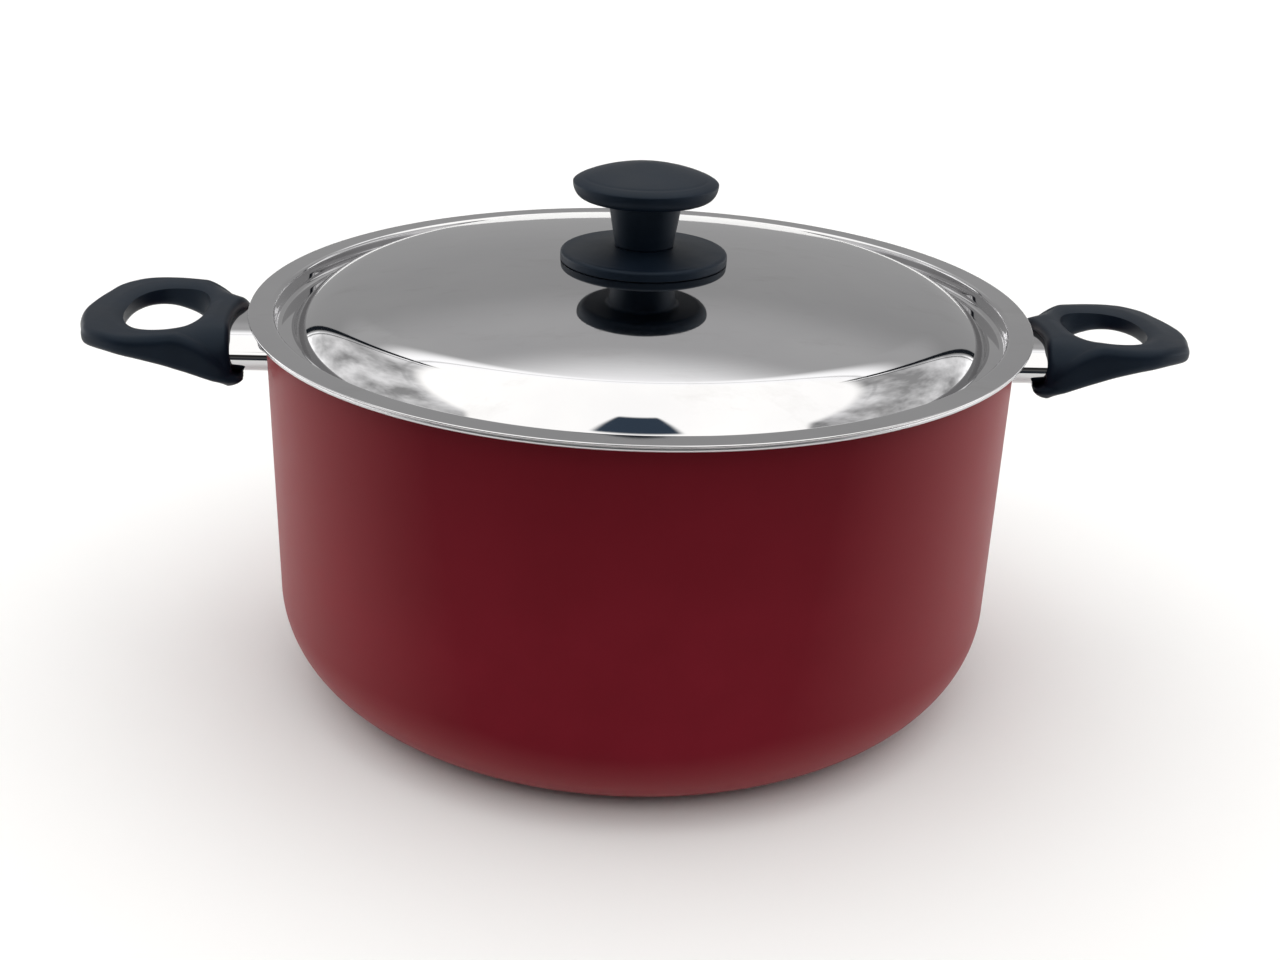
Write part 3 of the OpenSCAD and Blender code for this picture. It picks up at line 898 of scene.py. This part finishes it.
# ---------------------------------------------------------------- studio
def floor():
    """Pale table that reaches well past the view."""
    radius = 7.0
    bm = lathe([(radius * share, 0) for share in (0, 0.03, 0.1, 0.4, 1)], 96)
    mesh = bpy.data.meshes.new("floor")
    bmesh.ops.recalc_face_normals(bm, faces=bm.faces)
    bm.to_mesh(mesh)
    bm.free()
    mesh.materials.append(pale_floor())
    obj = add_to_scene("floor", mesh)


def studio():
    """Soft light all round: bright ceiling, grey backdrop with dark edges, pale side walls, dark front.

    Elevation and azimuth are in degrees; the azimuth is measured from where the camera looks.
    """
    dark_edge, ceiling = (0.012, 0.015, 0.02), (1.75, 1.74, 1.7)
    seam_grey, window = (0.5, 0.5, 0.5), (0.05, 0.075, 0.11)
    world = bpy.data.worlds.new("studio")
    bpy.context.scene.world = world
    world.use_nodes = True
    tree = world.node_tree
    tree.nodes.clear()
    output = tree.nodes.new("ShaderNodeOutputWorld")
    background = tree.nodes.new("ShaderNodeBackground")
    tree.links.new(background.outputs[0], output.inputs["Surface"])
    turn = tree.nodes.new("ShaderNodeVectorRotate")
    turn.rotation_type = "Z_AXIS"
    turn.inputs["Angle"].default_value = HEADING
    tree.links.new(tree.nodes.new("ShaderNodeTexCoord").outputs["Generated"], turn.inputs["Vector"])
    direction = turn.outputs["Vector"]
    split = tree.nodes.new("ShaderNodeSeparateXYZ")
    tree.links.new(direction, split.inputs[0])
    degrees = 180 / math.pi
    elevation = maths(tree, "MULTIPLY", maths(tree, "ARCSINE", split.outputs[2]), degrees)
    azimuth = maths(tree, "MULTIPLY", maths(tree, "ARCTAN2", split.outputs[0], split.outputs[1]), degrees)
    aside = maths(tree, "ABSOLUTE", azimuth)

    def band(value, low, high, soft):
        """One between low and high, nought outside, with soft edges."""
        rise = span(tree, value, low - soft, low + soft, smooth=True)
        fall = span(tree, value, high - soft, high + soft, 1.0, 0.0, smooth=True)
        return maths(tree, "MULTIPLY", rise, fall)

    # Grey backdrop that brightens towards the ceiling light
    lower = span(tree, elevation, 22, 31, 0.4, 0.54, smooth=True)
    upper = span(tree, elevation, 34.5, 43.5, 0.0, 1.16, smooth=True)
    behind = maths(tree, "ADD", lower, upper)

    # Mottled side walls, brightest near the table, that end where the dark front begins
    mottle = noise(tree, direction, scale=3.2, detail=4.0, roughness=0.6)
    near_table = span(tree, elevation, 4, 18, 3.0, 1.0, smooth=True)
    walls = maths(tree, "MULTIPLY", span(tree, mottle, 0.36, 0.62, 0.42, 1.2), near_table)
    sides = maths(tree, "MULTIPLY", walls, span(tree, aside, 100, 128, 1.0, 0.04, smooth=True))
    beside = span(tree, aside, 40.5, 41.5, smooth=True)
    low_light = mixed(tree, beside, behind, sides)

    # Dark edges between the backdrop and the side walls
    inner_edge = band(aside, 38.0, 40.2, 0.25)
    outer_edge = maths(tree, "MULTIPLY", band(aside, 41.6, 42.3, 0.2), 0.7)
    low_light = mixed(tree, maths(tree, "MAXIMUM", inner_edge, outer_edge), low_light, dark_edge)

    # Ceiling light that starts lower behind the camera, a grey seam along its edge and a dark window in it
    lowered = span(tree, aside, 105, 125, 0, 13, smooth=True)
    overhead = span(tree, maths(tree, "ADD", elevation, lowered), 46, 50, smooth=True)
    light = mixed(tree, overhead, low_light, ceiling)
    seam = maths(tree, "MULTIPLY", band(elevation, 44.3, 45.3, 0.3), span(tree, aside, 60, 80, 0.5, 0.0))
    light = mixed(tree, seam, light, seam_grey)
    behind_camera = span(tree, aside, 157, 162, smooth=True)
    opening = maths(tree, "MULTIPLY", band(elevation, 58, 79, 1.5), behind_camera)
    light = mixed(tree, opening, light, window)
    tree.links.new(light, background.inputs["Color"])
    background.inputs["Strength"].default_value = 1.0


def front_shade():
    """Dark ground in front of the table that only mirror-like surfaces see."""
    near, far, half, height = -0.46, -7.0, 7.0, 0.001
    corners = [(-half, near, height), (half, near, height), (half, far, height), (-half, far, height)]
    mesh = bpy.data.meshes.new("front_shade")
    mesh.from_pydata(corners, [], [(0, 3, 2, 1)])
    material, tree, shader = new_tree("front_shade")
    tone = noise(tree, object_point(tree), scale=4, detail=2.0)
    colour = mixed(tree, tone, (0.012, 0.016, 0.022), (0.03, 0.036, 0.045))
    tree.links.new(colour, shader.inputs["Base Color"])
    shader.inputs["Roughness"].default_value = 0.9
    shader.inputs["Specular IOR Level"].default_value = 0.0
    mesh.materials.append(material)
    obj = add_to_scene("front_shade", mesh)
    obj.visible_camera = False
    obj.visible_diffuse = False
    obj.visible_transmission = False
    obj.visible_shadow = False


def backdrop():
    """Plain pale surround that only the camera sees, where the floor ends."""
    radius = 6.5
    mesh = bpy.data.meshes.new("surround")
    bm = lathe(arc((0, 0), radius, -4, 90, 24), 64)
    bm.to_mesh(mesh)
    bm.free()
    material, tree, shader = new_tree("pale_surround")
    shader.inputs["Base Color"].default_value = (0, 0, 0, 1)
    shader.inputs["Specular IOR Level"].default_value = 0.0
    tone = noise(tree, object_point(tree), scale=0.3, detail=1.0)
    tree.links.new(mixed(tree, tone, (0.9, 0.9, 0.9), (0.94, 0.94, 0.94)), shader.inputs["Emission Color"])
    shader.inputs["Emission Strength"].default_value = 1.0
    mesh.materials.append(material)
    obj = add_to_scene("surround", mesh)
    obj.visible_diffuse = False
    obj.visible_glossy = False
    obj.visible_transmission = False
    obj.visible_shadow = False


def camera():
    """Camera of the photo, found from the outlines of the lid and the pot."""
    data = bpy.data.cameras.new("camera")
    data.sensor_width = 36.0
    data.lens = FOCAL_LENGTH
    data.clip_start = 0.01
    data.clip_end = 50.0
    obj = add_to_scene("camera", data)
    forward = Vector((
        math.sin(HEADING) * math.cos(CAMERA_PITCH),
        math.cos(HEADING) * math.cos(CAMERA_PITCH),
        math.sin(CAMERA_PITCH),
    ))
    level = forward.cross(Vector((0, 0, 1))).normalized()
    upright = level.cross(forward)
    right = level * math.cos(CAMERA_ROLL) + upright * math.sin(CAMERA_ROLL)
    up = upright * math.cos(CAMERA_ROLL) - level * math.sin(CAMERA_ROLL)
    place = Matrix((right, up, -forward)).transposed().to_4x4()
    place.translation = Vector((
        -CAMERA_DISTANCE * math.sin(CAMERA_AZIMUTH),
        -CAMERA_DISTANCE * math.cos(CAMERA_AZIMUTH),
        CAMERA_HEIGHT,
    ))
    obj.matrix_world = place
    bpy.context.scene.camera = obj


pot()
lid()
knob_disc()
knob()
for side in ("right", "left"):
    handle_grip(side)
    flame_guard(side)
finish_fasteners()
floor()
front_shade()
backdrop()
studio()
camera()
bpy.context.scene.view_settings.view_transform = "Standard"
